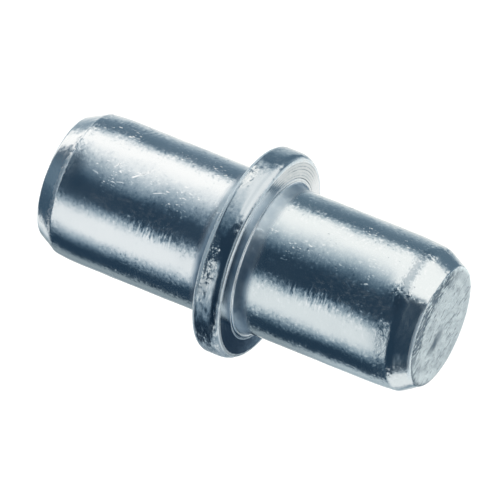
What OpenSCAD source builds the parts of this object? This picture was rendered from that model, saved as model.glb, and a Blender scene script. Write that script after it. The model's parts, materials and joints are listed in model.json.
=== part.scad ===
// Shelf support pin: one headed steel pin with a stub on each side of a round collar.
// The wall stub goes into a hole in the cabinet's side until the collar meets the panel,
// and the shelf rests on the other stub.
// The pin's axis lies along X, and +X points out of the wall, along the shelf stub.
// The origin is the centre of the collar's wall face.

/* [Stubs] */
// Diameter of both stubs, made for a hole of the same size
barrel_d = 5; // [4:0.5:8]
// Length of the wall stub, from the collar's wall face to its tip
wall_len = 6.5; // [4:0.25:12]
// Length of the shelf stub, from the collar's shelf face to its tip
shelf_len = 6.15; // [4:0.05:12]

/* [Stub ends] */
// Angle of both chamfers, from the pin's axis
chamfer_angle = 30; // [20:1:40]
// Length of the wall stub's chamfer, along the axis
wall_chamfer = 0.7; // [0.5:0.05:1.2]
// Length of the shelf stub's chamfer, along the axis
shelf_chamfer = 0.8; // [0.5:0.05:1.2]
// Radius that softens the shoulder between barrel and chamfer
shoulder_r = 0.4; // [0.1:0.05:0.6]

/* [Collar] */
// How far the collar stands out from the barrel
collar_step = 1.05; // [1.05:0.05:3]
// Thickness of the collar, from its wall face to the lip on its shelf face
collar_t = 1.12; // [1:0.02:2]
// Radius of the rim's corner on the wall side
rim_wall_r = 0.24; // [0.1:0.02:0.3]
// Radius of the rim's corner on the shelf side
rim_shelf_r = 0.36; // [0.1:0.02:0.36]
// Number of fine turned steps that fall from the lip to the rim
ring_count = 4; // [1:1:4]
// Width of each step
ring_pitch = 0.1; // [0.05:0.01:0.1]
// Height of each step
ring_rise = 0.03; // [0.01:0.01:0.03]

/* [Collar feet] */
// Radius of the fillet between the wall stub and the collar
wall_foot_r = 0.5; // [0.2:0.05:0.6]
// Radius of the hollow foot of the shelf stub
shelf_foot_r = 0.45; // [0.4:0.05:0.6]
// How far that foot reaches along the barrel, from the lip
shelf_foot_reach = 0.33; // [0.3:0.01:0.34]
// How far the lip stands out from the barrel
lip_out = 0.27; // [0.22:0.01:0.28]
// Slope of the lip's inner wall, which drops into the foot
lip_angle = 40; // [30:1:50]

/* [Hidden] */
steel = [0.70, 0.74, 0.78];
facets = 96;

barrel_r = barrel_d / 2;
collar_r = barrel_r + collar_step;
wall_tip = -wall_len;
shelf_tip = collar_t + shelf_len;
lip = [barrel_r + lip_out, collar_t];
rim_front = collar_t - ring_count * ring_rise;
shelf_foot = [barrel_r + shelf_foot_r, collar_t + shelf_foot_reach];

// Radius of a stub's flat end, for a chamfer of the given length
function end_r(chamfer) = barrel_r - chamfer * tan(chamfer_angle);

// Centre of the arc that rounds a shoulder; side is -1 for the wall stub and 1 for the shelf stub
function shoulder_centre(tip, chamfer, side) =
    [barrel_r - shoulder_r, tip - side * (chamfer + shoulder_r * tan(chamfer_angle / 2))];

// The two points where that arc leaves the barrel and meets the chamfer
function shoulder_points(tip, chamfer, side) =
    let (c = shoulder_centre(tip, chamfer, side))
    [[barrel_r, c[1]], c + shoulder_r * [cos(chamfer_angle), side * sin(chamfer_angle)]];

// The corners of the fine steps, from the rim in to the lip's top ring
ring_points = [for (i = [ring_count : -1 : 1], fall = [i, i - 1])
    [lip[0] + i * ring_pitch, collar_t - fall * ring_rise]];

// Half of the pin's lengthwise section: radius along X, the pin's axis along Y.
// Each arc is still a straight chord, and the foot of the shelf stub is still full
module chord_section() {
    wall = shoulder_points(wall_tip, wall_chamfer, -1);
    shelf = shoulder_points(shelf_tip, shelf_chamfer, 1);
    polygon(concat(
        [[0, wall_tip], [end_r(wall_chamfer), wall_tip], wall[1], wall[0]],
        [[barrel_r, -wall_foot_r], [barrel_r + wall_foot_r, 0]],
        [[collar_r - rim_wall_r, 0], [collar_r, rim_wall_r]],
        [[collar_r, rim_front - rim_shelf_r], [collar_r - rim_shelf_r, rim_front]],
        ring_points,
        [[barrel_r + 0.9 * lip_out, collar_t], [barrel_r, shelf_foot[1]]],
        [shelf[0], shelf[1], [end_r(shelf_chamfer), shelf_tip], [0, shelf_tip]]));
}

module arc_disc(centre, radius) {
    translate(centre) circle(radius, $fn = facets);
}

// The hollow of the shelf stub's foot: a disc, cut off by the lip's inner wall
module shelf_foot_hollow() {
    slope = shelf_foot_r * [cos(lip_angle), sin(lip_angle)];
    low = lip - slope;
    high = lip + 2 * slope;
    intersection() {
        arc_disc(shelf_foot, shelf_foot_r);
        polygon([low, high, [0, high[1]], [0, low[1]]]);
    }
}

// The same half section with its true arcs: rounded shoulders and rim, hollow feet
module half_section() {
    difference() {
        union() {
            chord_section();
            arc_disc(shoulder_centre(wall_tip, wall_chamfer, -1), shoulder_r);
            arc_disc(shoulder_centre(shelf_tip, shelf_chamfer, 1), shoulder_r);
            arc_disc([collar_r - rim_wall_r, rim_wall_r], rim_wall_r);
            arc_disc([collar_r - rim_shelf_r, rim_front - rim_shelf_r], rim_shelf_r);
        }
        arc_disc([barrel_r + wall_foot_r, -wall_foot_r], wall_foot_r);
        shelf_foot_hollow();
    }
}

// The whole pin, headed from one piece of steel wire
module shelf_pin() {
    color(steel) rotate([0, 90, 0]) rotate_extrude($fn = facets) half_section();
}

shelf_pin();
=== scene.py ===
# %% [markdown]
# # A shelf support pin
# This small pin carries the corner of a shelf. One end goes into a hole in the cabinet's
# side, a round collar stops it there, and the shelf rests on the other end.
# The real pin is headed cold from a piece of steel wire, so it is one solid piece, and is
# then plated with bright zinc. All of its looks come from that: a round section, a rolled
# collar, two sheared tips, and a thin shiny skin that shows every knock.
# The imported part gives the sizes. Everything below is built inside its box, in metres.

# %% Load the frame
import json
import math

import bmesh
import bpy
from mathutils import Matrix, Vector


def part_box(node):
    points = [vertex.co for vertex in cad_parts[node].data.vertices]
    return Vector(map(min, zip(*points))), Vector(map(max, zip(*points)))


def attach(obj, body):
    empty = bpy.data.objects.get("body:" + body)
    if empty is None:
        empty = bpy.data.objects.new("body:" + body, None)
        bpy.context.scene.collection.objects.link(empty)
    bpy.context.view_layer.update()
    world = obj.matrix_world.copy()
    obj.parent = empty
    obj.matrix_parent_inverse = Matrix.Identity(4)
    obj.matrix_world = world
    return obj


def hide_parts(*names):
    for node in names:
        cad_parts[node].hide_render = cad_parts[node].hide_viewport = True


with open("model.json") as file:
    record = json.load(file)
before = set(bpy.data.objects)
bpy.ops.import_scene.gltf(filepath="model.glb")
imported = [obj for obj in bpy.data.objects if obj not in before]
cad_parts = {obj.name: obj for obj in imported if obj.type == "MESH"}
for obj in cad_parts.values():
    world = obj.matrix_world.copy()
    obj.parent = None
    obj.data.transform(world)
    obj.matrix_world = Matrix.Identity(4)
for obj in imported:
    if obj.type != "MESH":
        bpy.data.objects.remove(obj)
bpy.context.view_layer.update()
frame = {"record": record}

# %% [markdown]
# ## Sizes
# A drawing of turned or headed work needs only one half of a lengthwise section: each point
# has a place along the axis and a distance from it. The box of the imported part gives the
# two tips and the collar, and the record's mounts give the barrel. The rest are the small
# radii of the drawing. All of them are in millimetres, because that is how a pin is drawn.

# %% Read the main sizes from the part
MM = 0.001
low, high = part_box("shelf_pin")
mounts = {mount["name"]: mount for mount in frame["record"]["mounts"]}
wall_tip = low.x / MM
shelf_tip = high.x / MM
collar_r = high.z / MM
barrel_r = mounts["shelf_spigot"]["dims"]["r_mm"]
print(f"tips {wall_tip:.3f} and {shelf_tip:.3f}, collar r {collar_r:.3f}, barrel r {barrel_r:.3f} mm")

# %% Small sizes of the stubs
chamfer_angle = 30
wall_chamfer = 0.7
shelf_chamfer = 0.8
wall_shoulder_r = 0.26
shelf_shoulder_r = 0.9
tip_edge_r = 0.11
crown_drop = 0.045  # how much thinner the barrel is at its shoulder
crown_length = 0.8  # the length over which it thins
wall_foot_r = 0.5
shelf_foot_r = 0.8
shelf_foot_start = -151  # where the foot's arc meets the lip's inner wall, in degrees
print(f"chamfers {wall_chamfer} and {shelf_chamfer} mm long, at {chamfer_angle} degrees")

# %% Small sizes of the collar
collar_t = 1.12
rim_wall_r = 0.24
rim_flat_end = 0.34  # where the rim starts to fall away
rim_fall = 0.15  # how far it has fallen at its edge
rim_edge_r = 0.08
rim_edge_tilt = 53
rim_front = 1.0
ring_count = 4
ring_rise = 0.05  # how much the face rises from the rim to the lip
ring_wave = 0.05  # 0 for a plain cone, 1 for full steps
lip_out = 0.11
lip_front = 1.09
lip_width = 0.11  # from the crest's middle to the bead's outer side
lip_slope = 0.03  # how much lower the bead lies
lip_edge_r = 0.04
lip_groove = 0.015  # depth of the groove between crest and bead
lip_angle = 40
foot_reach = 0.31
print(f"collar {collar_t} mm thick, its rim ends at {rim_front} and its lip at {lip_front} mm")

# %% [markdown]
# ## Arithmetic on sockets
# A node tree holds a formula as boxes and threads, which is slow to write and slow to read.
# The small class below wraps one socket, so that a line such as `1 - mask * 0.5` adds the
# Math nodes by itself. The same class serves the mesh tree, the materials and the world.

# %% A wire through a node tree
class Wire:
    """One output socket. Arithmetic on it adds Math nodes to its tree."""

    def __init__(self, socket):
        self.socket = socket
        self.tree = socket.id_data

    def of(self, name):
        return Wire(self.socket.node.outputs[name])

    def __add__(self, other):
        return calculate("ADD", self, other)

    def __radd__(self, other):
        return calculate("ADD", other, self)

    def __sub__(self, other):
        return calculate("SUBTRACT", self, other)

    def __rsub__(self, other):
        return calculate("SUBTRACT", other, self)

    def __mul__(self, other):
        return calculate("MULTIPLY", self, other)

    def __rmul__(self, other):
        return calculate("MULTIPLY", other, self)

    def __truediv__(self, other):
        return calculate("DIVIDE", self, other)

    def __pow__(self, other):
        return calculate("POWER", self, other)

    def __neg__(self):
        return calculate("MULTIPLY", self, -1)


def add(tree, kind, settings=None, values=None, out=0):
    """Adds any node: its settings first, then a value or a wire for each named socket."""
    node = tree.nodes.new(kind)
    for name, setting in (settings or {}).items():
        setattr(node, name, setting)
    for name, value in (values or {}).items():
        if isinstance(value, Wire):
            tree.links.new(value.socket, node.inputs[name])
        else:
            node.inputs[name].default_value = value
    return Wire(node.outputs[out]) if node.outputs else node


def calculate(operation, *values):
    """One Math node, on wires and plain numbers."""
    tree = next(value.tree for value in values if isinstance(value, Wire))
    return add(tree, "ShaderNodeMath", {"operation": operation}, dict(enumerate(values)))


def vector_math(operation, *values):
    """One Vector Math node, on wires and plain vectors."""
    tree = next(value.tree for value in values if isinstance(value, Wire))
    return add(tree, "ShaderNodeVectorMath", {"operation": operation}, dict(enumerate(values)))


# %% Shapes of a mask
def rise(value, start, end):
    """0 up to start, 1 from end on, and a smooth climb between them."""
    return add(
        value.tree,
        "ShaderNodeMapRange",
        {"interpolation_type": "SMOOTHSTEP"},
        {"Value": value, "From Min": start, "From Max": end},
    )


def window(value, opens, full, fades, shut):
    """0 outside opens..shut, 1 from full to fades."""
    return rise(value, opens, full) * (1 - rise(value, fades, shut))


def mixed(first, second, mask):
    """A number that goes from first to second as the mask goes from 0 to 1."""
    return first + (second - first) * mask


# %% Places on the pin
def split(vector):
    """The three numbers of a vector."""
    parts = add(vector.tree, "ShaderNodeSeparateXYZ", None, {0: vector})
    return parts, parts.of("Y"), parts.of("Z")


def joined(x, y, z):
    """The vector of three numbers, at least one of them a wire."""
    tree = next(value.tree for value in (x, y, z) if isinstance(value, Wire))
    return add(tree, "ShaderNodeCombineXYZ", None, {"X": x, "Y": y, "Z": z})


def distance(one_way, other_way):
    """Length of the straight line that goes so far one way and so far across it."""
    return calculate("POWER", one_way * one_way + other_way * other_way, 0.5)


def degrees_round_axis(y, z):
    """Angle round the pin's axis in degrees: 0 faces -Y, 90 faces +Z."""
    return calculate("ARCTAN2", z, -y) * (180 / math.pi)


def to_narrow_side(angle):
    """0 where the shelf stub's chamfer is widest, and 2 on the narrow side across from it."""
    return 1 - calculate("COSINE", (angle - 125) * (math.pi / 180))


# %% Noise and patches
def noise(place, stretch, seed, detail=2.0, roughness=0.5):
    """Smooth noise from -1 to 1; stretch is how many grains fit in 1 mm along each axis."""
    scaled = vector_math("MULTIPLY_ADD", place, stretch, (seed * 7.3, seed * 3.1, seed * 5.7))
    texture = add(
        place.tree,
        "ShaderNodeTexNoise",
        {"noise_dimensions": "3D"},
        {"Vector": scaled, "Scale": 1.0, "Detail": detail, "Roughness": roughness},
    )
    return texture * 2 - 1


def patch(x, angle, at_x, at_angle, half_length, half_angle):
    """1 in the middle of an oval on the skin, 0 outside it; angles are in degrees round the pin."""
    off_x = (x - at_x) / half_length
    off_angle = calculate("WRAP", angle - at_angle, 180.0, -180.0) / half_angle
    return 1 - rise(distance(off_x, off_angle), 0.45, 1.0)


# %% [markdown]
# ## The section
# The half section is drawn once, from the wall tip to the shelf tip, as straight runs and
# arcs. Cylinders with bevelled edges could be stacked into such a pin too, but a drawn line
# puts each radius just where it belongs. Its spacing follows the shape: a long plain barrel
# needs few points, and the collar with its fine rings needs many. The tips' edges get a tiny
# radius of their own, because no real edge is perfectly sharp, and the radius is what
# catches the light.

# %% Runs and arcs
def run(start, end, steps):
    """Points from start towards end, without the end."""
    start, end = Vector(start), Vector(end)
    return [start.lerp(end, step / steps) for step in range(steps)]


def arc(centre, radius, first, last, steps):
    """Points of an arc, without its end: 0 degrees points away from the axis, 90 along +X."""
    angles = [math.radians(first + (last - first) * step / steps) for step in range(steps)]
    return [Vector(centre) + radius * Vector((math.sin(a), math.cos(a))) for a in angles]


def sloped(side, degrees):
    """Unit vector in the section, tilted from straight outwards towards the tip on that side."""
    return Vector((side * math.sin(math.radians(degrees)), math.cos(math.radians(degrees))))


# %% [markdown]
# ### The two stubs
# A stub is sheared flat, chamfered so that it finds its hole, and softened at the shoulder.
# The wall stub's shoulder came out crisp and the shelf stub's soft, so each has its own
# radius. Heading squeezes the wire, which leaves the barrel a hair thinner near its shoulder.
# One function draws both stubs, because only their sizes and their side differ.

# %% The stubs, from the tip's centre to the collar
def stub_end(tip, chamfer, shoulder_r, side):
    """Flat tip, tip edge, chamfer, shoulder; side is -1 for the wall stub, 1 for the shelf stub."""
    slope = math.tan(math.radians(chamfer_angle))
    end_r = barrel_r - chamfer * slope
    edge = Vector((tip - side * tip_edge_r, end_r - tip_edge_r * slope))
    shoulder_x = tip - side * (chamfer + shoulder_r * math.tan(math.radians(chamfer_angle / 2)))
    shoulder = Vector((shoulder_x, barrel_r - crown_drop - shoulder_r))
    chamfer_start = edge + tip_edge_r * sloped(side, chamfer_angle)
    chamfer_end = shoulder + shoulder_r * sloped(side, chamfer_angle)
    points = run((tip, 0), (tip, edge.y), 22)
    points += arc(edge, tip_edge_r, side * 90, side * chamfer_angle, 3)
    points += run(chamfer_start, chamfer_end, 13)
    points += arc(shoulder, shoulder_r, side * chamfer_angle, 0, 7)
    return points, shoulder_x


def barrel(shoulder_x, foot_x, steps=28):
    """A barrel that drops a hair towards its shoulder, from shoulder to foot, without its end."""
    points = []
    for point in run((shoulder_x, barrel_r), (foot_x, barrel_r), steps):
        near_end = max(0.0, 1 - abs(point.x - shoulder_x) / crown_length)
        points.append(Vector((point.x, barrel_r - crown_drop * near_end ** 2)))
    return points


wall_stub, wall_shoulder = stub_end(wall_tip, wall_chamfer, wall_shoulder_r, -1)
shelf_stub, shelf_shoulder = stub_end(shelf_tip, shelf_chamfer, shelf_shoulder_r, 1)
print(f"shoulders at {wall_shoulder:.3f} and {shelf_shoulder:.3f} mm")

# %% [markdown]
# ### The collar
# The heading tool leaves the rim falling away in one long curve towards the shelf, with a
# crisp edge. From there the shelf face is almost flat, with fine turned rings, up to a narrow
# lip that was raised round the stub: a crest and, just outside it, a lower bead. Inside the
# lip a shallow hollow foot runs out into the barrel. The rings are soft waves of the drawn
# line, and only the finest grooves between them are left to the material.

# %% The rim and the rings
rim_edge_x = rim_front - rim_edge_r
rim_end_r = collar_r - rim_fall - rim_edge_r * sloped(1, rim_edge_tilt).y
crest = Vector((lip_front - lip_edge_r, barrel_r + lip_out + lip_edge_r))
bead = crest + Vector((-lip_slope, lip_width - lip_edge_r))
foot_centre = Vector((collar_t + foot_reach, barrel_r + shelf_foot_r))


def rim_front_curve(steps=20, edge_steps=5):
    """The rim falls away towards the shelf face in one long curve, and ends in a crisp edge."""
    edge = Vector((rim_edge_x, rim_end_r))
    curve_end = edge + rim_edge_r * sloped(1, rim_edge_tilt)
    points = []
    for step in range(steps):
        part = step / steps
        point_x = rim_flat_end + (curve_end.x - rim_flat_end) * part
        points.append(Vector((point_x, collar_r - rim_fall * part ** 5)))
    return points + arc(edge, rim_edge_r, rim_edge_tilt, 90, edge_steps)


def turned_rings(points_each=8):
    """The fine rings of the shelf face: a flat cone that rises in soft steps to the lip."""
    pitch = (rim_end_r - bead.y - lip_edge_r) / ring_count
    points = []
    for step in range(ring_count * points_each):
        turns = step / points_each
        height = (turns - ring_wave * math.sin(2 * math.pi * turns) / (2 * math.pi)) / ring_count
        points.append(Vector((rim_front + ring_rise * height, rim_end_r - pitch * turns)))
    return points


# %% The collar, from the wall stub's foot to the shelf stub's foot
collar = arc((-wall_foot_r, barrel_r + wall_foot_r), wall_foot_r, 180, 90, 10)
collar += run((0, barrel_r + wall_foot_r), (0, collar_r - rim_wall_r), 4)
collar += arc((rim_wall_r, collar_r - rim_wall_r), rim_wall_r, -90, 0, 9)
collar += run((rim_wall_r, collar_r), (rim_flat_end, collar_r), 4)
collar += rim_front_curve()
collar += turned_rings()
collar += arc(bead, lip_edge_r, 35, 110, 5)
collar += [(bead + crest) / 2 + Vector((lip_edge_r - lip_groove, 0))]
collar += arc(crest, lip_edge_r, 50, 90 + lip_angle, 5)
inner_wall_top = crest + lip_edge_r * sloped(1, 90 + lip_angle)
inner_wall_end = foot_centre + shelf_foot_r * sloped(1, shelf_foot_start)
collar += run(inner_wall_top, inner_wall_end, 3)
collar += arc(foot_centre, shelf_foot_r, shelf_foot_start, -180, 10)
print(f"lip: crest at r {crest.y:.3f}, bead at r {bead.y:.3f} mm")

# %% One line of points, from tip to tip
section = wall_stub + barrel(wall_shoulder, -wall_foot_r) + collar
section += [Vector((foot_centre.x, barrel_r))]
section += list(reversed(barrel(shelf_shoulder, foot_centre.x)))
section += list(reversed(shelf_stub))
section_mesh = bpy.data.meshes.new("half_section")
links = [(index, index + 1) for index in range(len(section) - 1)]
section_mesh.from_pydata([(point.x, point.y, 0) for point in section], links, [])
section_object = bpy.data.objects.new("half_section", section_mesh)
print(f"{len(section)} points in the half section")

# %% [markdown]
# ## The studio
# Bright zinc has almost no colour of its own. What one sees on it is the room, squeezed into
# stripes along the barrel, so the room matters as much as the metal. It is a plain studio:
# a long white panel above and behind, a pale card in front and below it, a white table, a
# few smaller cards, and dark gaps between them. Here the world shader paints that room by
# direction. Lamps and real cards could do the same, but they bring grainy light and shadows
# of their own, and each would have to be moved until its reflection falls right.
# "turn" goes round the pin's axis in degrees, from 0 at the front to 90 straight up, and
# "along" is the part of the direction that runs along the pin. The dark gaps are toned a
# cool blue, the panels stay neutral. What the camera sees directly is plain white.

# %% The room, by direction
world = bpy.data.worlds.new("studio")
bpy.context.scene.world = world
world.use_nodes = True
room = world.node_tree
room.nodes.clear()
direction = add(room, "ShaderNodeTexCoord", out="Generated")
along, across, upward = split(direction)
wrap_at = -118
turn = calculate("FLOORED_MODULO", degrees_round_axis(across, upward) - wrap_at, 360.0) + wrap_at
left_end = rise(along, -0.56, -0.72)
off_left = rise(along, -0.37, -0.55)
off_right = rise(along, -0.3, -0.15)
right_side = rise(along, -0.05, 0.4)

# %% The dim room, the table and the long panel
level = window(turn, -30, 20, 60, 112) * 0.1 + 0.075
level = mixed(0.068, level + 0.045, left_end)
# the dim wall behind
wall = window(turn, 150, 165, 236 - right_side * 8, 242 - right_side * 9)
level = mixed(level, 0.225, wall)
# the white table, which starts below that wall
table_start = 168 + window(along, -0.25, 0.0, 0.1, 0.25) * 26
table_end = 262 - right_side * 38
table = window(turn, table_start, 230 - right_side * 20, 232 - right_side * 14, table_end)
level = mixed(level, 1.0 - right_side * 0.38, table)
# the long panel above and behind, a little dimmer where its two halves meet
panel_low = 48 + off_left * 44 + off_right * 16 + right_side * 6
panel_full = 124 - off_right * 40
panel = window(turn, panel_low, panel_full, 135 + right_side * 20, 161 + right_side * 6)
panel_join = window(along, -0.2, 0.0, 0.14, 0.34) * 0.12
panel = panel * (1 - left_end) * (1 - panel_join) * rise(along, 0.88, 0.8)
level = mixed(level, 0.98, panel)
# and its end on the left
level = mixed(level, 1.0, window(turn, 118, 134, 160, 184) * left_end)

# %% The cards
# the pale card in front and below
level = mixed(level, 0.85, window(turn, -54, -18, 2, 31) * window(along, -0.7, -0.55, -0.28, -0.06))
# light that comes up from the table, near the pin
level = mixed(level, 0.6, window(turn, -112, -97, -88, -76) * rise(along, 0.04, -0.12))
level = mixed(level, 0.85, window(turn, -104, -96, -64, -54) * window(along, -0.22, -0.02, 0.58, 0.7))
level = mixed(level, 0.9, rise(turn, -98, -122) * rise(along, 0.2, 0.0))
level = mixed(level, 0.9, window(turn, -119, -118, -84, -70) * left_end)
# a narrow card on the left
level = mixed(level, 0.6, window(turn, -5, 30, 112, 130) * window(along, -0.88, -0.8, -0.68, -0.6))
# a card that faces the shelf tip
level = mixed(level, 1.0, window(turn, 188, 204, 229.5, 233) * window(along, 0.04, 0.14, 0.6, 0.75))
# the narrow card on the right, which the shelf chamfer sees
card_along = along + rise(turn, -10, -50) * 0.18
card = window(card_along, 0.7, 0.76, 0.79, 0.85) * window(turn, -90, -60, 110, 150)
level = mixed(level, 0.65, card)
# two low cards on the right, for the edges of the rim and the tip
level = mixed(level, 1.0, window(turn, -95, -80, -50, -25) * window(along, 0.5, 0.6, 0.76, 0.84))
level = mixed(level, 1.0, window(turn, -100, -92, -60, -42) * rise(along, 0.66, 0.76))
# the bright end of the room
level = mixed(level, 1.0, rise(along, 0.91, 0.94))

# %% Tone and output
def toned(brightness, warm_power, mid_power):
    """White stays neutral, and what is darker turns blue."""
    red = brightness ** warm_power * 1.25
    green = brightness ** mid_power * 1.2
    blue = brightness * 1.12
    parts = {"Red": red, "Green": green, "Blue": blue}
    return add(brightness.tree, "ShaderNodeCombineColor", {"mode": "RGB"}, parts)


def shader_mix(mask, first, second):
    """A shader that goes from first to second as the mask goes from 0 to 1."""
    return add(mask.tree, "ShaderNodeMixShader", None, {0: mask, 1: first, 2: second})


seen_by_camera = add(room, "ShaderNodeLightPath", out="Is Camera Ray")
room_tone = toned(level, 1.52, 1.21)
room_light = add(room, "ShaderNodeBackground", None, {"Color": room_tone, "Strength": 1.0})
white = add(room, "ShaderNodeBackground", None, {"Color": (1, 1, 1, 1), "Strength": 1.0})
add(room, "ShaderNodeOutputWorld", None, {"Surface": shader_mix(seen_by_camera, room_light, white)})
print("studio:", len(room.nodes), "nodes")

# %% [markdown]
# ## The table
# The pin is held in its hole, so it has no rest of its own, and the table only gives it
# something pale to float over. It is a white sheet a little way below. Part of its white
# is its own glow, which only the camera sees, and part comes from the room, so the pin's
# soft shadow still shows on it. The pin reflects the painted room instead of the sheet.

# %% Make the sheet
table_drop = 12 * MM
table_half = 1.0
corner_ways = [(-1, -1), (1, -1), (1, 1), (-1, 1)]
corners = [(x * table_half, y * table_half, -table_drop) for x, y in corner_ways]
sheet_mesh = bpy.data.meshes.new("table_sheet")
sheet_mesh.from_pydata(corners, [], [(0, 1, 2, 3)])
sheet = bpy.data.objects.new("table_sheet", sheet_mesh)
bpy.context.scene.collection.objects.link(sheet)
sheet.visible_glossy = False
print(f"the table lies {table_drop / MM:.0f} mm below the pin's axis")

# %% Its white
paper = bpy.data.materials.new("white_paper")
paper.use_nodes = True
on_paper = paper.node_tree
on_paper.nodes.clear()
lit = add(on_paper, "ShaderNodeBsdfDiffuse", None, {"Color": (0.8, 0.8, 0.8, 1)})
glow = add(on_paper, "ShaderNodeEmission", None, {"Color": (1, 1, 1, 1), "Strength": 0.72})
no_glow = add(on_paper, "ShaderNodeEmission", None, {"Color": (0, 0, 0, 1), "Strength": 0.0})
seen_by_camera = add(on_paper, "ShaderNodeLightPath", out="Is Camera Ray")
own_glow = shader_mix(seen_by_camera, no_glow, glow)
both = add(on_paper, "ShaderNodeAddShader", None, {0: lit, 1: own_glow})
add(on_paper, "ShaderNodeOutputMaterial", None, {"Surface": both})
sheet_mesh.materials.append(paper)

# %% [markdown]
# ## The camera
# A long lens from a little above and to the right looks at the shelf stub's tip, with the
# pin lying from upper left to lower right. A short lens would make the near stub look
# thicker than the far one. The camera's place comes from three numbers: how far round, how
# high, and how far away.

# %% Set up the camera
camera_azimuth = math.radians(29.03)
camera_elevation = math.radians(46.41)
camera_distance = 0.3
camera_target = Vector((0.224, 0.052, -0.061)) * MM
towards = Vector((
    math.sin(camera_azimuth) * math.cos(camera_elevation),
    -math.cos(camera_azimuth) * math.cos(camera_elevation),
    math.sin(camera_elevation),
))
right = Vector((math.cos(camera_azimuth), math.sin(camera_azimuth), 0))
lens = bpy.data.cameras.new("camera")
lens.sensor_width = 36
lens.lens = 668.6
lens.clip_start = 0.01
lens.clip_end = 10
camera = bpy.data.objects.new("camera", lens)
axes = Matrix((right, towards.cross(right), towards)).transposed()
camera_place = camera_target + towards * camera_distance
camera.matrix_world = Matrix.LocRotScale(camera_place, axes.to_quaternion(), None)
bpy.context.scene.collection.objects.link(camera)
bpy.context.scene.camera = camera
bpy.context.scene.view_settings.view_transform = "Standard"
print("camera at", [round(part, 4) for part in camera_place], "metres")

# %% [markdown]
# ## Zinc finishes
# The plating is a thin, bright, slightly blue metal that copies whatever is under it. The
# barrels keep short strokes that run round them, from the wire's drawing and from tumbling
# in a drum. Such strokes don't scatter light all ways: they tilt the skin up or down a
# little, which frays the edges of every reflected stripe. That tilt is added straight to
# the surface normal, along the way round the pin, and small pits go into a bump on top.
# A painted image could hold the same marks, but it would stretch at the collar and the
# tips. Noise that reads the place in millimetres has the same grain everywhere.

# %% A material and its places
def new_finish(name):
    """An empty node material."""
    material = bpy.data.materials.new(name)
    material.use_nodes = True
    material.node_tree.nodes.clear()
    return material, material.node_tree


def pin_places(tree):
    """Object coordinates in millimetres, and the angle round the axis in degrees."""
    place = add(tree, "ShaderNodeTexCoord", out="Object")
    place = vector_math("MULTIPLY", place, (1 / MM, 1 / MM, 1 / MM))
    x, y, z = split(place)
    return place, x, y, z, degrees_round_axis(y, z)


# %% The metal skin
def tilted(y, z, tilt):
    """The surface normal, tipped round the pin's axis by the wire tilt, in radians."""
    outwards = vector_math("NORMALIZE", joined(0.0, y, z))
    round_way = vector_math("CROSS_PRODUCT", (1, 0, 0), outwards)
    normal = add(y.tree, "ShaderNodeNewGeometry", out="Normal")
    push = add(y.tree, "ShaderNodeVectorMath", {"operation": "SCALE"}, {0: round_way, "Scale": tilt})
    return vector_math("NORMALIZE", vector_math("ADD", normal, push))


def finish_metal(tree, colour, roughness, relief, normal=None, metallic=1.0):
    """A metal skin. The relief is in millimetres, and sits on top of the given normal."""
    values = {"Strength": 1.0, "Distance": MM, "Height": relief}
    if normal is not None:
        values["Normal"] = normal
    bump = add(tree, "ShaderNodeBump", None, values)
    skin = {"Base Color": colour, "Metallic": metallic, "Roughness": roughness, "Normal": bump}
    metal = add(tree, "ShaderNodeBsdfPrincipled", None, skin)
    add(tree, "ShaderNodeOutputMaterial", None, {"Surface": metal})


# %% Marks of the drum
def flecks(place, stretch, seed, amount):
    """Small ragged flecks, at the peaks of a fine noise: 1 at the middle of one, 0 between them."""
    return rise(noise(place, stretch, seed, detail=2), 0.5 - amount, 0.62 - amount)


def scratch(x, angle, start_x, start_angle, end_x, end_angle, half_width, depth):
    """A straight scratch on a barrel, from one place to another: its depth along the middle."""
    mm_per_degree = barrel_r * math.pi / 180
    way = Vector((end_x - start_x, (end_angle - start_angle) * mm_per_degree))
    length = way.length
    way.normalize()
    off_x = x - start_x
    off_round = (angle - start_angle) * mm_per_degree
    aside = calculate("ABSOLUTE", off_x * way.y - off_round * way.x)
    covered = (off_x * way.x + off_round * way.y) / length
    line = 1 - rise(aside, half_width * 0.3, half_width)
    return line * window(covered, 0.0, 0.15, 0.6, 1.0) * depth


# %% [markdown]
# ### Tones of zinc
# Fresh zinc is nearly white. Over the shelf stub it is greyer, save where it is polished.
# Painted shade is dark blue in the hollow feet, with painted light on their tops, and low on
# the collar's shelf face; it is grey under the wall stub and the inner part of the shelf stub,
# and round the top and back of that face. A worn edge is the other way round: rubbed matt
# and almost white, with a painted highlight.

# %% Tones of zinc
def zinc(tree, mask, first, second):
    """A colour that goes from first to second as the mask goes from 0 to 1."""
    ends = [tone if isinstance(tone, Wire) else (*tone, 1) for tone in (first, second)]
    values = {0: mask, 6: ends[0], 7: ends[1]}
    return add(tree, "ShaderNodeMix", {"data_type": "RGBA"}, values, out=2)


bright_zinc = (0.80, 0.84, 0.89)
# greyer zinc for the shelf stub
greyer_zinc = (0.71, 0.77, 0.815)
# painted shade: dark blue for the feet and for the shelf face low down
shade_blue_zinc = (0.15, 0.28, 0.42)
# painted light: the pale top of each foot, which the random clouds also reach
pale_and_lit_foot_zinc = (0.66, 0.76, 0.84)
# painted shade in grey: under the stubs and round the top and back of the shelf face
shaded_zinc = (0.33, 0.39, 0.43)
rim_zinc = (0.60, 0.665, 0.725)
scuffed_zinc = (0.80, 0.84, 0.87)
torn_zinc = (0.81, 0.935, 1.0)
# worn edges and lines, with a painted highlight
worn_highlight_zinc = (0.81, 0.92, 1.0)
# painted shade along the shelf shoulder
shoulder_shade_zinc = (0.46, 0.53, 0.59)
# bath smudges on the tips, and painted shade on the rim's low front and in the tips' blade-side groove
smudge_and_shade_zinc = (0.16, 0.245, 0.33)
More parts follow.
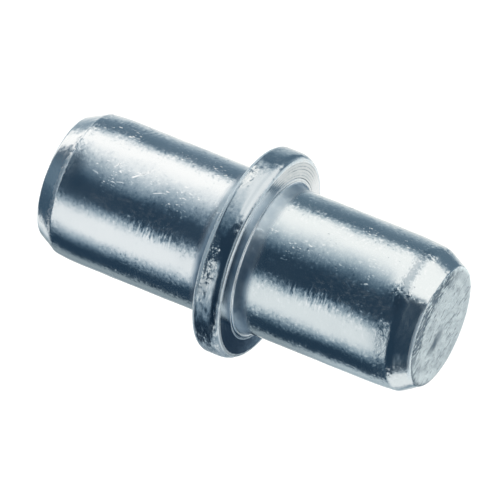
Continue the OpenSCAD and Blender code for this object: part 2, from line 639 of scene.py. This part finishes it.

# %% [markdown]
# ### The drawn barrels
# The stubs rub in their holes, so a few worn places carry strong strokes that run round the
# pin, and the rest only has a fine grain. Flecks and short scratches are the marks of the
# drum. A ragged bright line marks the wall shoulder, and a dark band of painted shade the
# shelf shoulder. The hollow feet are rougher and less metallic than the barrels, with painted
# shade low down and painted light on top; the underside near the collar gets painted shade too.
# Each mark is a mask: a number from 0 to 1 that says how much of it lies at that place.

# %% Rubbed places and scratches
rubbed_places = [
    # along, angle, half length, half angle
    (3.7, 36, 1.25, 13),
    (-2.2, 35, 1.0, 11),
    (-4.3, 118, 1.5, 10),
    (4.9, 214, 1.2, 24),
    (-3.0, 262, 1.6, 18),
    (3.2, 305, 1.1, 15),
]
barrel_scratches = [
    # start along and angle, end along and angle, half width, depth
    (-3.6, 67, -3.0, 79, 0.04, 1.0),
    (-4.28, 70, -4.1, 76, 0.02, 1.0),
    (-2.7, 62, -2.3, 66, 0.02, 0.6),
    (-4.0, 60, -3.7, 62, 0.02, 0.5),
    (4.5, 56, 5.0, 48, 0.02, 0.25),
    (5.1, 47, 5.7, 55, 0.02, 0.2),
    (-4.9, 196, -3.9, 210, 0.03, 0.8),
    (2.4, 250, 3.5, 262, 0.03, 0.8),
]
print(len(rubbed_places), "rubbed places and", len(barrel_scratches), "scratches")

# %% Where the barrels are worn
drawn, tree = new_finish("drawn_zinc")
place, x, y, z, angle = pin_places(tree)
clusters = rise(noise(place, (0.7, 0.8, 0.8), 3), -0.25, 0.35)
grain = noise(place, (10, 8, 8), 1, detail=3, roughness=0.65)
strokes = noise(place, (15, 3.2, 3.2), 2, detail=3)
sway = noise(place, (1.1, 0.9, 0.9), 4, detail=1)
rubbed = 0.0
for spot_sizes in rubbed_places:
    rubbed = patch(x, angle, *spot_sizes) + rubbed
rubbed = rubbed * rise(noise(place, (3, 1.2, 1.2), 6), -0.5, 0.2)
# both shoulders, and the ragged bright line just past the wall shoulder
near_shelf = shelf_shoulder - 0.3, shelf_shoulder, shelf_shoulder + 0.4, shelf_shoulder + 0.55
near_wall = wall_shoulder - 0.2, wall_shoulder - 0.05, wall_shoulder, wall_shoulder + 0.35
at_shoulder = window(x, *near_shelf) + window(x, *near_wall)
edge_line = wall_shoulder - 0.23, wall_shoulder - 0.17, wall_shoulder - 0.09, wall_shoulder - 0.02
edge_x = x + noise(place, (3, 5, 5), 10, detail=3) * 0.16
worn_edge = window(edge_x, *edge_line) * window(angle, -40, -5, 72, 95)
# the two feet, and the outer part of the wall stub, which was knocked less
in_foot = window(x, -0.66, -0.35, 1.32, 1.62)
calm = window(x, -5.9, -5.7, -4.6, -3.2) * window(angle, -40, -30, 60, 75)

# %% Flecks and scratches
knocked_side = window(angle, 40, 58, 128, 150) + window(angle, -160, -140, -80, -60)
fleck_places = rise(noise(place, (0.9, 1.0, 1.0), 5), -0.15, 0.25)
slanted = joined(x + z * 0.8, y, z)
small_flecks = flecks(slanted, (9, 24, 24), 33, 0.2) * 0.6
marks = (flecks(slanted, (5, 13, 13), 31, 0.22) + small_flecks) * knocked_side * fleck_places
for scratch_sizes in barrel_scratches:
    marks = marks + scratch(x, angle, *scratch_sizes)
barrel_ends = wall_shoulder - 0.1, wall_shoulder + 0.1, shelf_shoulder - 0.1, shelf_shoulder + 0.1
marks = marks * window(x, *barrel_ends)
# every mark has one side that faces the long panel, so it is tipped that way
towards_panel = mixed(-0.36, 0.28, rise(angle, 82, 94))

# %% How the barrels' skin tilts
tilt = grain * (0.05 + 0.05 * clusters + 0.15 * at_shoulder + 0.8 * worn_edge)
tilt = tilt + strokes * (0.02 + 0.22 * rubbed)
tilt = tilt + grain * grain * grain * 0.8
tilt = tilt * (1 - calm * 0.55)
tilt = tilt + marks * towards_panel + sway * 0.04
# the drawn wire is not perfectly round: one long flat on each stub
shelf_flat = rise(x, 0.0, 1.0) * window(angle, 42, 54, 62, 78)
wall_flat = patch(x, angle, -3.5, 64, 1.5, 16)
tilt = tilt + shelf_flat * 0.05 - wall_flat * 0.05

# %% Tones of the barrels
polished = calculate("MAXIMUM", rise(grain, 0.05, 0.45) * 0.7, rubbed * rise(strokes, -0.1, 0.3))
# greyer over the shelf stub, except where polished; the grain adds random tone
dullness = rise(x, 0.0, 1.0) * (1 - polished) + 0.18 * rise(grain, 0.0, -0.4)
skin_tone = zinc(tree, dullness, bright_zinc, greyer_zinc)
# painted shade: darker under the wall stub and the inner part of the shelf stub, for the pin's own shadow
# it reflects
painted_underside_shade = window(angle, -120, -90, -18, -9) * rise(x, 5.4, 2.2)
skin_tone = zinc(tree, painted_underside_shade, skin_tone, shaded_zinc)
# painted shade: a dark band along the shelf shoulder, which follows the shoulder as it wanders round the
# stub
shoulder_shade_ends = shelf_shoulder - 0.08, shelf_shoulder + 0.06, shelf_shoulder + 0.16, shelf_shoulder + 0.34
painted_shoulder_shade = window(x + grain * 0.35 - to_narrow_side(angle) * 0.12, *shoulder_shade_ends)
painted_shoulder_shade = painted_shoulder_shade * window(angle, 40, 60, 98, 120) * (1 - rise(grain, 0.1, 0.35) * 0.6)
skin_tone = zinc(tree, painted_shoulder_shade, skin_tone, shoulder_shade_zinc)
# the feet: painted shade in dark blue, painted light on top, and random clouds between
foot_clouds = rise(noise(place, (2.5, 2.5, 2.5), 16, detail=4), -0.4, 0.4)
foot_light = foot_clouds * 0.35 + window(angle, 48, 70, 108, 135) * 0.65
foot_shade_and_light = zinc(tree, foot_light, shade_blue_zinc, pale_and_lit_foot_zinc)
skin_tone = zinc(tree, in_foot * 0.8, skin_tone, foot_shade_and_light)
# the bright ragged edge of the shelf tip: wear, with a painted highlight on its upper front
tip_worn_highlight = rise(x + grain * 0.03, shelf_tip - 0.14, shelf_tip - 0.1)
tip_worn_highlight = tip_worn_highlight * window(angle, -25, -5, 50, 62)
skin_tone = zinc(tree, tip_worn_highlight, skin_tone, worn_highlight_zinc)

# %% Gloss of the barrels
hazy = patch(x, angle, 4.9, 46, 2.0, 17) + patch(x, angle, -3.0, 44, 2.6, 12) * 0.7
hazy = hazy * rise(noise(place, (5, 8, 8), 17, detail=4, roughness=0.7), -0.1, 0.3)
roughness = 0.16 + 0.04 * clusters + 0.18 * in_foot + 0.1 * worn_edge + 0.08 * tip_worn_highlight
metallic = 1 - in_foot * 0.3 - tip_worn_highlight * 0.35 - hazy * 0.13
relief = grain * (0.0004 + 0.003 * at_shoulder + 0.004 * worn_edge)
finish_metal(tree, skin_tone, roughness, relief, tilted(y, z, tilt), metallic)
print("drawn zinc:", len(tree.nodes), "nodes")

# %% [markdown]
# ### The rolled collar
# The rim knocks against everything in the drum, so a stretch of it is scuffed to dull specks,
# and its edges and the lip are rubbed to thin whitish lines that carry a painted highlight.
# The rim's low front gets painted shade. The shelf face keeps fine rings from the heading
# tool, is calm low down, and has painted shade: grey round the top and back, and dark blue
# low down, where it faces the dark of the room.

# %% Where the collar is worn
rolled, tree = new_finish("rolled_zinc")
place, x, y, z, angle = pin_places(tree)
reach = distance(y, z)
on_rim = rise(reach, collar_r - 0.26, collar_r - 0.1)
on_face = 1 - on_rim
upper_side = window(angle, 70, 110, 150, 175) + window(angle, -175, -150, -110, -80)
low_side = window(angle, -60, -40, 22, 44)
ragged = noise(place, (5, 4, 4), 7, detail=4, roughness=0.65)
broken = noise(place, (8, 8, 8), 10, detail=4, roughness=0.75)
rim_strokes = noise(place, (14, 3, 3), 15, detail=3)
scuff = patch(x, angle, 0.3, 34, 0.42, 24) + patch(x, angle, 0.25, 88, 0.35, 14) * 0.6
scuff = scuff + patch(x, angle, 0.5, 190, 0.6, 40) + patch(x, angle, 0.4, 292, 0.5, 30)
scuff = on_rim * rise(scuff + ragged * 0.6, 0.3, 0.6)
worn = on_rim * rise(noise(place, (2, 1.2, 1.2), 8, detail=3), -0.1, 0.4)

# %% Thin worn lines with a painted highlight: crest and bead of the lip, and both edges of the rim
on_crest = window(reach, crest.y - 0.08, crest.y - 0.05, crest.y + 0.01, crest.y + 0.03)
on_bead = window(reach, bead.y - 0.01, bead.y + 0.01, bead.y + 0.04, bead.y + 0.07)
on_lip = on_crest + on_bead * 0.6
edge_r = collar_r - rim_fall
front_edge = window(reach, edge_r - 0.11, edge_r - 0.07, edge_r, edge_r + 0.04)
front_edge = front_edge * rise(x, rim_front - 0.1, rim_front - 0.06) * rise(ragged, -0.5, 0.0)
wall_edge = window(x, -0.02, 0.02, 0.14, 0.2) * rise(reach, collar_r - 0.19, collar_r - 0.13)
wall_edge = wall_edge * rise(ragged, -0.5, 0.1)
worn_highlight_lines = calculate("MAXIMUM", calculate("MAXIMUM", on_lip, wall_edge), front_edge)

# %% How the collar's skin tilts, and its grooves
tilt = broken * (0.1 + 0.7 * scuff + 0.2 * worn) + ragged * (0.12 + 0.25 * scuff)
tilt = tilt * (1 - on_face * rise(angle, 12, -8) * 0.75)
tilt = tilt + rim_strokes * low_side * on_rim * 0.32
groove_pitch = 0.1
wobble = noise(joined(x * 2, reach, 0.0), (4, 9, 1), 9) * 0.02
grooves = calculate("COSINE", (reach + wobble) / groove_pitch * (2 * math.pi)) * upper_side
relief = broken * (0.0004 + scuff * 0.002) + on_face * grooves * 0.0018

# %% Tones and gloss of the collar
rim_tone = zinc(tree, scuff * rise(broken, -0.3, 0.2), rim_zinc, scuffed_zinc)
# painted shade low on the rim's front, broken up by the rim's strokes
painted_rim_shade = window(angle, -42, -30, 12, 30) * on_rim * (0.8 - 0.8 * rise(rim_strokes, 0.0, 0.35))
rim_tone = zinc(tree, painted_rim_shade, rim_tone, smudge_and_shade_zinc)
# painted shade on the shelf face: grey round the top and back, dark blue low down, where it faces the
# dark of the room
rim_tone = zinc(tree, on_face * upper_side * 0.6, rim_tone, shaded_zinc)
rim_tone = zinc(tree, on_face * rise(angle, 12, -14) * 0.85, rim_tone, shade_blue_zinc)
rim_tone = zinc(tree, worn_highlight_lines, rim_tone, worn_highlight_zinc)
roughness = 0.16 + 0.05 * scuff + 0.08 * worn + 0.07 * low_side * on_rim + 0.16 * worn_highlight_lines
finish_metal(tree, rim_tone, roughness, relief, tilted(y, z, tilt), 1 - worn_highlight_lines * 0.5)
print("rolled zinc:", len(tree.nodes), "nodes")

# %% [markdown]
# ### The sheared tips
# A shear cuts part of the way and tears the rest. The torn face is dull and streaked along
# the tear, and on the side where the blade came in its edge has a mottled groove, darkened
# with painted shade. Two smudges near the middle are what the plating bath left behind. The
# streaks are a noise that is drawn out along the tear.

# %% Streaks, the blade-side groove with its painted shade, and smudges
smudges = [
    # across and up from the middle, half size
    (-0.22, -0.26, 0.42),
    (-0.55, -0.45, 0.34),
]
tear_angle = math.radians(-8)
sheared, tree = new_finish("sheared_zinc")
place, x, y, z, angle = pin_places(tree)
reach = distance(y, z)
turned_place = {"Vector": place, "Rotation": (tear_angle, 0, 0)}
along_tear = add(tree, "ShaderNodeMapping", {"vector_type": "POINT"}, turned_place)
torn = noise(along_tear, (1, 2.6, 12), 11, detail=4, roughness=0.7)
cloudy = noise(place, (1, 1.1, 1.1), 12, detail=5, roughness=0.7)
mottled = noise(along_tear, (1, 3.5, 9), 13, detail=3, roughness=0.6)
# the mottled groove inside the edge on the blade side, which also carries painted shade
blade_groove_and_shade = window(reach + mottled * 0.3, 1.3, 1.6, 2.0, 2.1)
blade_groove_and_shade = blade_groove_and_shade * window(angle, -15, 20, 95, 135) * rise(mottled, -0.25, 0.1)
smudge = 0.0
for smudge_y, smudge_z, half_size in smudges:
    off = distance((y - smudge_y) * 0.75, z - smudge_z) + cloudy * 0.16
    smudge = 1 - rise(off, half_size * 0.1, half_size) + smudge

# %% Tone and relief of the tips
# the tip's tone darkens with clouds, smudges and torn streaks, and with painted shade in the blade-side
# groove
dull = rise(cloudy, 0.0, 0.45) * 0.45 + blade_groove_and_shade * 1.2 + smudge * 0.7
dull = dull + rise(torn, 0.07, 0.34) * 0.8
shear_rings = noise(joined(0.0, reach, 0.0), (1, 7, 1), 14)
relief = torn * 0.011 + cloudy * 0.01 - blade_groove_and_shade * 0.012 + shear_rings * 0.003
finish_metal(tree, zinc(tree, dull, torn_zinc, smudge_and_shade_zinc), 0.36 + 0.08 * dull, relief)
print("sheared zinc:", len(tree.nodes), "nodes")

# %% [markdown]
# ## The pin
# A lathe form follows one rule, so a Geometry Nodes tree makes it: a flat grid has one row
# of points for each point of the section, and every row is swung round the axis. A Screw
# modifier could swing the line too, but a tree has named sizes and can go on shaping. Cold
# heading and a shear leave nothing perfectly regular, so the same tree then pushes the skin
# about by hundredths of a millimetre: ragged tips, torn faces, knocks in the rim, and a
# shelf shoulder that wanders by more than that, because its chamfer was cut askew.

# %% The tree and its inputs
pin_tree = bpy.data.node_groups.new("headed_pin", "GeometryNodeTree")
tree_inputs = {
    "Half Section": ("NodeSocketObject", section_object),
    "Facets": ("NodeSocketInt", 360),
    "Barrel Finish": ("NodeSocketMaterial", drawn),
    "Collar Finish": ("NodeSocketMaterial", rolled),
    "Tip Finish": ("NodeSocketMaterial", sheared),
    "Shoulder Wander": ("NodeSocketFloat", 0.12),
    "Ragged Edge": ("NodeSocketFloat", 0.022),
    "Tip Relief": ("NodeSocketFloat", 0.025),
    "Rim Wear": ("NodeSocketFloat", 0.02),
    "Sway": ("NodeSocketFloat", 0.012),
}
identifiers = {}
for name, (kind, value) in tree_inputs.items():
    socket = pin_tree.interface.new_socket(name=name, in_out="INPUT", socket_type=kind)
    identifiers[name] = socket.identifier
pin_tree.interface.new_socket(name="Geometry", in_out="OUTPUT", socket_type="NodeSocketGeometry")
given = add(pin_tree, "NodeGroupInput")
facets = given.of("Facets")
half = add(
    pin_tree, "GeometryNodeObjectInfo", None, {"Object": given.of("Half Section")}, out="Geometry",
)
rings = add(
    pin_tree, "GeometryNodeAttributeDomainSize", {"component": "MESH"}, {"Geometry": half},
    out="Point Count",
)
spot = add(pin_tree, "GeometryNodeInputPosition")

# %% Swing the section round the axis
merge_distance = 0.00002
grid_size = {"Size X": rings - 1, "Size Y": facets, "Vertices X": rings, "Vertices Y": facets + 1}
skin = add(pin_tree, "GeometryNodeMeshGrid", None, grid_size, out="Mesh")
row_place, swing_place, _ = split(spot)
row = calculate("ROUND", row_place + (rings - 1) / 2)
swing_step = calculate("FLOORED_MODULO", calculate("ROUND", swing_place + facets / 2), facets)
from_section = add(
    pin_tree, "GeometryNodeSampleIndex", {"data_type": "FLOAT_VECTOR", "domain": "POINT"},
    {"Geometry": half, "Value": spot, "Index": row},
)
along_axis, radius, _ = split(from_section)
swing = swing_step / facets * (2 * math.pi)
turned = joined(along_axis, -(radius * calculate("COSINE", swing)), radius * calculate("SINE", swing))
skin = add(pin_tree, "GeometryNodeSetPosition", None, {"Geometry": skin, "Position": turned})
merging = {"Geometry": skin, "Distance": merge_distance}
skin = add(pin_tree, "GeometryNodeMergeByDistance", None, merging)

# %% Which finish each face takes, from where the plain form lies
tip_margin = 0.02
foot_edge_r = barrel_r + lip_out - 0.01
collar_start = -0.08
mid_x, mid_y, mid_z = split(spot)
is_shelf_tip = calculate("GREATER_THAN", mid_x, shelf_tip - tip_margin)
is_wall_tip = calculate("LESS_THAN", mid_x, wall_tip + tip_margin)
is_tip = calculate("MAXIMUM", is_shelf_tip, is_wall_tip)
beyond_foot = calculate("GREATER_THAN", distance(mid_y, mid_z), foot_edge_r)
is_collar = beyond_foot * calculate("GREATER_THAN", mid_x, collar_start)
skin = add(
    pin_tree, "GeometryNodeStoreNamedAttribute", {"data_type": "INT", "domain": "FACE"},
    {"Geometry": skin, "Name": "finish", "Value": is_tip * 2 + is_collar},
)

# %% Shoulders that wander and tips with a ragged edge
x, y, z = split(spot)
angle = degrees_round_axis(y, z)
reach = distance(y, z)
slow = noise(spot, (1.0, 1.0, 1.0), 21)
quick = noise(spot, (3.5, 3.5, 3.5), 22, detail=3)
wander = given.of("Shoulder Wander")
ragged = given.of("Ragged Edge")
to_tip = calculate("MINIMUM", (shelf_tip - x) / (shelf_tip - shelf_shoulder), 1.0)
at_shelf_shoulder = rise(x, shelf_shoulder - 0.8, shelf_shoulder - 0.1) * to_tip
wall_ends = wall_tip + 0.1, wall_shoulder - 0.3, wall_shoulder + 0.1, wall_shoulder + 0.8
at_wall_shoulder = window(x, *wall_ends)
push_x = at_shelf_shoulder * (wander * to_narrow_side(angle) + ragged * quick + 0.04)
push_x = push_x + at_wall_shoulder * ragged * quick
near_tip_edge = window(reach, 1.75, 1.98, 2.1, 2.25)
shelf_edge = near_tip_edge * rise(x, shelf_tip - 0.15, shelf_tip - 0.04)
wall_edge = near_tip_edge * rise(x, wall_tip + 0.15, wall_tip + 0.04)
chipped = calculate("MAXIMUM", quick + 0.1, 0.0) * ragged * 0.5
push_x = push_x - shelf_edge * chipped + wall_edge * chipped

# %% The sheared faces
tear_turn = math.radians(40)
across_tip = add(
    pin_tree, "ShaderNodeVectorRotate", {"rotation_type": "X_AXIS"}, {"Vector": spot, "Angle": tear_turn},
)
torn = noise(across_tip, (0.3, 0.7, 3.0), 23, detail=3)
on_tip_face = 1 - rise(reach, 1.6, 2.0)
tip_relief = given.of("Tip Relief") * (0.4 + 0.6 * torn) * on_tip_face
push_x = push_x - rise(x, shelf_tip - 0.04, shelf_tip - 0.01) * tip_relief
push_x = push_x + rise(x, wall_tip + 0.04, wall_tip + 0.01) * tip_relief

# %% Knocks in the rim
knocks = [
    # along, angle, half length, half angle, depth
    (0.36, 87, 0.12, 2.4, 0.018),
    (0.22, 93, 0.09, 2.0, 0.015),
    (0.28, 18, 0.26, 4.5, 0.03),
    (0.40, 33, 0.20, 4.0, 0.015),
    (0.30, 205, 0.25, 5.0, 0.03),
    (0.55, 290, 0.20, 6.0, 0.03),
]
push_out = given.of("Sway") * slow
on_rim = rise(reach, collar_r - 0.3, collar_r - 0.1)
for knock_x, knock_angle, half_length, half_angle, depth in knocks:
    knock = patch(x + quick * 0.05, angle + quick * 2, knock_x, knock_angle, half_length, half_angle)
    push_out = push_out - on_rim * knock * depth
# a longer stretch that is worn down unevenly
worn_stretch = window(angle, 2, 8, 44, 52) * window(x, 0.0, 0.12, 0.5, 0.8)
push_out = push_out - on_rim * worn_stretch * given.of("Rim Wear") * (0.5 + quick)
print(len(knocks), "knocks in the rim")

# %% Move the skin, in millimetres, then turn it into metres
stretch = (reach + push_out) / calculate("MAXIMUM", reach, 0.001)
moved = joined(x + push_x, y * stretch, z * stretch)
skin = add(pin_tree, "GeometryNodeSetPosition", None, {"Geometry": skin, "Position": moved})
skin = add(pin_tree, "GeometryNodeSetShadeSmooth", None, {"Geometry": skin})
skin = add(pin_tree, "GeometryNodeTransform", None, {"Geometry": skin, "Scale": (MM, MM, MM)})
skin = add(pin_tree, "GeometryNodeRealizeInstances", None, {"Geometry": skin})
finish_of = add(pin_tree, "GeometryNodeInputNamedAttribute", {"data_type": "INT"}, {"Name": "finish"})
same_number = {"data_type": "INT", "operation": "EQUAL"}
for number, name in enumerate(["Barrel Finish", "Collar Finish", "Tip Finish"]):
    chosen = add(pin_tree, "FunctionNodeCompare", same_number, {2: finish_of, 3: number})
    dressed = {"Geometry": skin, "Selection": chosen, "Material": given.of(name)}
    skin = add(pin_tree, "GeometryNodeSetMaterial", None, dressed)
add(pin_tree, "NodeGroupOutput", None, {"Geometry": skin})
print("pin tree:", len(pin_tree.nodes), "nodes")

# %% Run the tree and keep a plain mesh
blank = bpy.data.objects.new("blank", bpy.data.meshes.new("blank"))
bpy.context.scene.collection.objects.link(blank)
bpy.context.scene.collection.objects.link(section_object)
maker = blank.modifiers.new("headed_pin", "NODES")
maker.node_group = pin_tree
for name, (_, value) in tree_inputs.items():
    maker[identifiers[name]] = value
bpy.context.view_layer.update()
depsgraph = bpy.context.evaluated_depsgraph_get()
made = blank.evaluated_get(depsgraph)
pin_mesh = bpy.data.meshes.new_from_object(made, preserve_all_data_layers=True, depsgraph=depsgraph)
pin_mesh.name = "headed_pin"
pin_mesh.materials.pop(index=0)
pin = bpy.data.objects.new("headed_pin", pin_mesh)
bpy.context.scene.collection.objects.link(pin)
bpy.data.objects.remove(blank)
bpy.data.objects.remove(section_object)
print(len(pin_mesh.vertices), "vertices and", len(pin_mesh.polygons), "faces")

# %% Check the mesh
check = bmesh.new()
check.from_mesh(pin_mesh)
open_edges = [edge for edge in check.edges if len(edge.link_faces) != 2]
print("open edges:", len(open_edges))
print("volume mm3:", round(check.calc_volume(signed=True) / MM ** 3, 2))
print("triangles:", sum(len(face.verts) - 2 for face in check.faces))
for slot, material in enumerate(pin_mesh.materials):
    print(material.name, sum(face.material_index == slot for face in check.faces), "faces")
check.free()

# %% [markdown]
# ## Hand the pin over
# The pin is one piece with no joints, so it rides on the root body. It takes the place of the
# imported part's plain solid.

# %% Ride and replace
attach(pin, "root")
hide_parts("shelf_pin")
